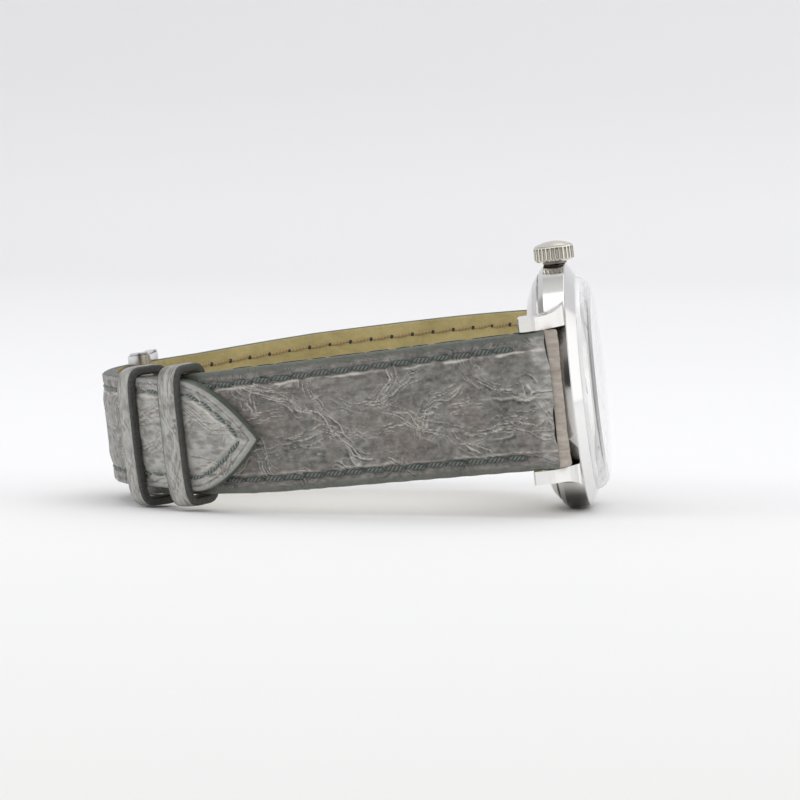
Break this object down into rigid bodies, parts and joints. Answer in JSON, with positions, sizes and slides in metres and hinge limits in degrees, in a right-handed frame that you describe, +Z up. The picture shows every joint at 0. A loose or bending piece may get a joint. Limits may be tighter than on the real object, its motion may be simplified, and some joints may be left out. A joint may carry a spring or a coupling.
{
  "type": "wristwatch",
  "caption": "Round hand-wound wristwatch in polished steel on a buckled grey leather strap; winds and sets at its crown and shows hours, minutes and seconds.",
  "frame": {"origin": "centre of the bounding box at the level it rests on", "axes": "+X out of the dial side, the longest extent; -Y towards the 12 o'clock lugs; +Z up, towards the crown"},
  "size_m": [0.0797, 0.0611, 0.0409],
  "materials": {
    "polished_steel": "mirror polished",
    "dark_steel": "knurled, dark",
    "movement_steel": "brushed",
    "crystal": "polished, clear",
    "clear_plastic": "satin",
    "seal_rubber": "matt",
    "bar_steel": "worn, warm",
    "dial": "satin silver-white",
    "brass": "gilt, fine grained",
    "blued_steel": "blued",
    "ruby": "polished",
    "plated_bridge": "striped plating",
    "grey_leather": "grey, creased, semi-gloss",
    "lining_leather": "tan, smooth"
  },
  "bodies": {
    "case": {"mid_case": "polished_steel", "bezel": "polished_steel", "crystal": "crystal", "crystal_gasket": "clear_plastic", "rehaut": "polished_steel", "case_back": "polished_steel", "case_back_gasket": "seal_rubber", "crown_tube": "dark_steel", "lug_spring_bars": "bar_steel", "dial": "dial", "hour_markers": "movement_steel", "movement_ring": "movement_steel", "case_clamps": "movement_steel", "main_plate": "brass", "barrel_bridge": "plated_bridge", "train_bridge": "plated_bridge", "balance_cock": "plated_bridge", "pallet_cock": "plated_bridge", "bridge_screws": "blued_steel", "click_screw": "blued_steel", "setting_lever_screw": "blued_steel", "jewels": "ruby", "hairspring": "blued_steel", "strap_short": "grey_leather", "strap_short_lining": "lining_leather", "strap_long": "grey_leather", "strap_long_lining": "lining_leather", "fixed_keeper": "grey_leather"},
    "seconds": {"fourth_wheel": "brass", "seconds_hand": "movement_steel"},
    "minutes": {"center_wheel": "brass", "cannon_pinion": "movement_steel", "minute_hand": "movement_steel"},
    "hours": {"hour_wheel": "brass", "hour_hand": "movement_steel"},
    "minute_wheel": {"minute_wheel": "brass"},
    "third": {"third_wheel": "brass"},
    "escape": {"escape_wheel": "movement_steel"},
    "barrel": {"barrel": "brass", "mainspring": "movement_steel"},
    "winding": {"winding_pinion": "movement_steel"},
    "crown": {"crown": "polished_steel", "crown_gasket": "seal_rubber", "stem": "movement_steel"},
    "clutch": {"sliding_pinion": "movement_steel"},
    "crown_wheel": {"crown_wheel": "movement_steel"},
    "ratchet": {"ratchet_wheel": "movement_steel", "barrel_arbor": "movement_steel", "ratchet_screw": "blued_steel"},
    "setting_lever": {"setting_lever": "movement_steel"},
    "click": {"click": "movement_steel"},
    "pallets": {"pallet_fork": "movement_steel"},
    "balance": {"balance": "brass"},
    "free_keeper": {"free_keeper": "grey_leather"},
    "buckle": {"buckle_frame": "polished_steel", "buckle_spring_bar": "bar_steel"},
    "tongue": {"buckle_tongue": "polished_steel"}
  },
  "joints": [
    {"name": "seconds_turn", "type": "hinge", "parent": "case", "child": "seconds", "pos_m": [0.03227, 0.00159, 0.01896], "axis": [-0.993, 0.0046, -0.1177], "continuous": true},
    {"name": "minute_turn", "type": "hinge", "parent": "case", "child": "minutes", "pos_m": [0.03227, -0.0049, 0.01871], "axis": [-0.993, 0.0046, -0.1177], "continuous": true},
    {"name": "hour_turn", "type": "hinge", "parent": "case", "child": "hours", "pos_m": [0.03435, -0.00491, 0.01896], "axis": [-0.993, 0.0046, -0.1177], "continuous": true},
    {"name": "minute_wheel_turn", "type": "hinge", "parent": "case", "child": "minute_wheel", "pos_m": [0.03387, -0.005, 0.02131], "axis": [-0.993, 0.0046, -0.1177], "continuous": true},
    {"name": "third_turn", "type": "hinge", "parent": "case", "child": "third", "pos_m": [0.03265, -0.00103, 0.01564], "axis": [-0.993, 0.0046, -0.1177], "continuous": true},
    {"name": "escape_turn", "type": "hinge", "parent": "case", "child": "escape", "pos_m": [0.03267, 0.00353, 0.01566], "axis": [-0.993, 0.0046, -0.1177], "continuous": true},
    {"name": "barrel_turn", "type": "hinge", "parent": "case", "child": "barrel", "pos_m": [0.03184, -0.01022, 0.02211], "axis": [-0.993, 0.0046, -0.1177], "continuous": true},
    {"name": "crown_turn", "type": "hinge", "parent": "case", "child": "winding", "pos_m": [0.03212, -0.00525, 0.02753], "axis": [-0.1178, -0.0389, 0.9923], "continuous": true},
    {"name": "crown_pull", "type": "slide", "parent": "winding", "child": "crown", "axis": [-0.1178, -0.0389, 0.9923], "range_m": [0, 0.001]},
    {"name": "clutch_slide", "type": "slide", "parent": "winding", "child": "clutch", "axis": [-0.1178, -0.0389, 0.9923], "range_m": [-0.0005, 0]},
    {"name": "crown_wheel_turn", "type": "hinge", "parent": "case", "child": "crown_wheel", "pos_m": [0.02989, -0.00519, 0.02601], "axis": [-0.993, 0.0046, -0.1177], "continuous": true},
    {"name": "ratchet_turn", "type": "hinge", "parent": "case", "child": "ratchet", "pos_m": [0.03035, -0.01021, 0.02193], "axis": [-0.993, 0.0046, -0.1177], "continuous": true},
    {"name": "setting_lever_pivot", "type": "hinge", "parent": "case", "child": "setting_lever", "pos_m": [0.03241, -0.00795, 0.03008], "axis": [0.993, -0.0046, 0.1177], "range_deg": [0, 22.5]},
    {"name": "click_pivot", "type": "hinge", "parent": "case", "child": "click", "pos_m": [0.03046, -0.01564, 0.02076], "axis": [-0.993, 0.0046, -0.1177], "range_deg": [-8, 0], "stiffness_Nm_per_rad": 0.00001},
    {"name": "pallet_rock", "type": "hinge", "parent": "case", "child": "pallets", "pos_m": [0.03282, 0.00217, 0.01345], "axis": [0.993, -0.0046, 0.1177], "range_deg": [-5, 5]},
    {"name": "balance_swing", "type": "hinge", "parent": "case", "child": "balance", "pos_m": [0.03274, 0.00052, 0.01071], "axis": [0.993, -0.0046, 0.1177], "range_deg": [-270, 270], "stiffness_Nm_per_rad": 0.00000015},
    {"name": "free_keeper_slide", "type": "hinge", "parent": "case", "child": "free_keeper", "pos_m": [-0.00587, 0.00237, 0.01447], "axis": [-0.1178, -0.0389, 0.9923], "range_deg": [-9, 10]},
    {"name": "buckle_pivot", "type": "hinge", "parent": "case", "child": "buckle", "pos_m": [-0.03394, 0.00624, 0.01128], "axis": [-0.1178, -0.0389, 0.9923], "range_deg": [0, 6]},
    {"name": "tongue_pivot", "type": "hinge", "parent": "buckle", "child": "tongue", "pos_m": [-0.03394, 0.00624, 0.01128], "axis": [-0.1178, -0.0389, 0.9923], "range_deg": [0, 9]}
  ],
  "couplings": [
    {"joint": "minute_turn", "follows": "seconds_turn", "ratio": 0.016667},
    {"joint": "hour_turn", "follows": "seconds_turn", "ratio": 0.0013889},
    {"joint": "minute_wheel_turn", "follows": "seconds_turn", "ratio": -0.0055556},
    {"joint": "third_turn", "follows": "seconds_turn", "ratio": -0.13333},
    {"joint": "escape_turn", "follows": "seconds_turn", "ratio": -10},
    {"joint": "barrel_turn", "follows": "seconds_turn", "ratio": -0.0028571},
    {"joint": "clutch_slide", "follows": "crown_pull", "ratio": -0.5},
    {"joint": "setting_lever_pivot", "follows": "crown_pull", "rad_per_m": 384.62},
    {"joint": "crown_wheel_turn", "follows": "crown_turn", "ratio": -0.58333},
    {"joint": "ratchet_turn", "follows": "crown_turn", "ratio": 0.31818}
  ]
}
